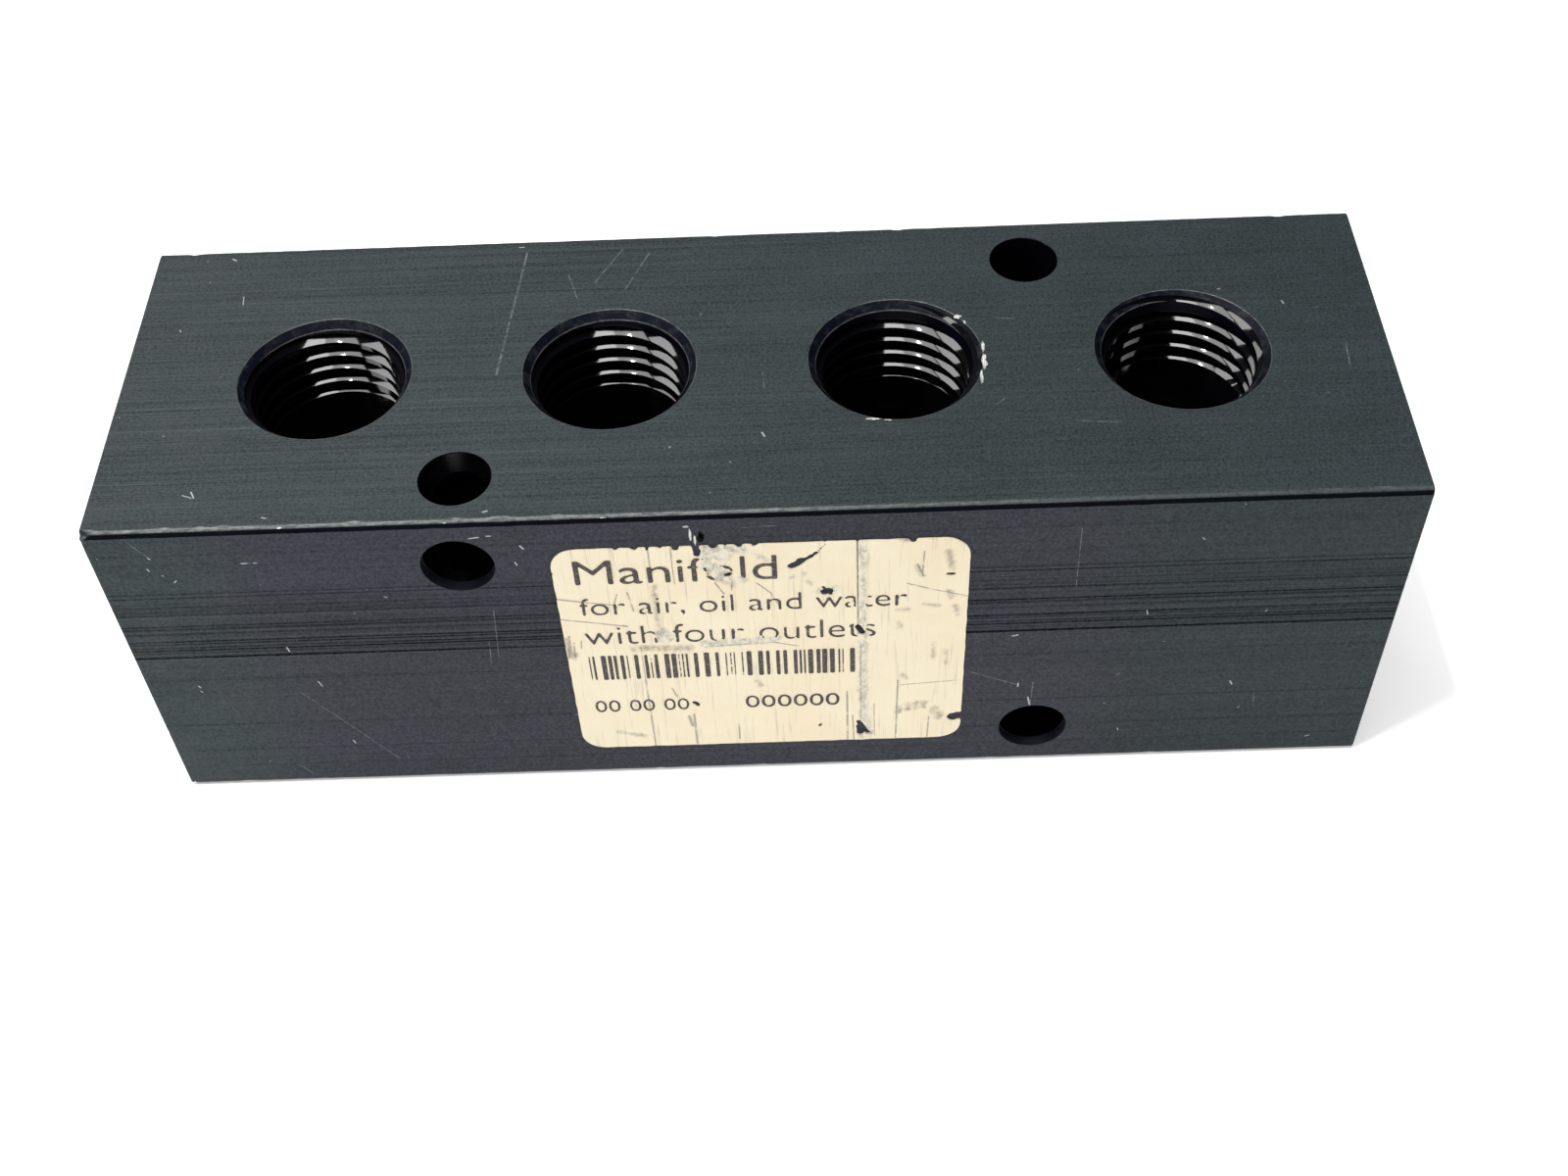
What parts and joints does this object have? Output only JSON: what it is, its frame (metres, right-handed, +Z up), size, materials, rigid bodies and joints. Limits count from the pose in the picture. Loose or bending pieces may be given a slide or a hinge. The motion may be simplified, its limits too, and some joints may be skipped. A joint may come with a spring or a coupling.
{
  "type": "fluid distribution manifold block",
  "caption": "Square black-anodised aluminium bar with a row of tapped outlets on top, a tapped inlet in each end, crossing bolt holes and a worn paper label.",
  "frame": {"origin": "centre of the bar's underside", "axes": "+X along the bar, towards the end whose upright bolt hole is at the back; +Z up, out of the outlets; -Y out of the label face"},
  "size_m": [0.0984, 0.0323, 0.0318],
  "materials": {
    "black_anodised_aluminium": "satin black anodised, with drawing lines along the bar, handling scratches and bare metal at knocked edges",
    "label_paper": "yellowed, scuffed printed paper with a torn top edge"
  },
  "bodies": {
    "root": {"manifold_body": "black_anodised_aluminium", "label": "label_paper"}
  },
  "joints": []
}
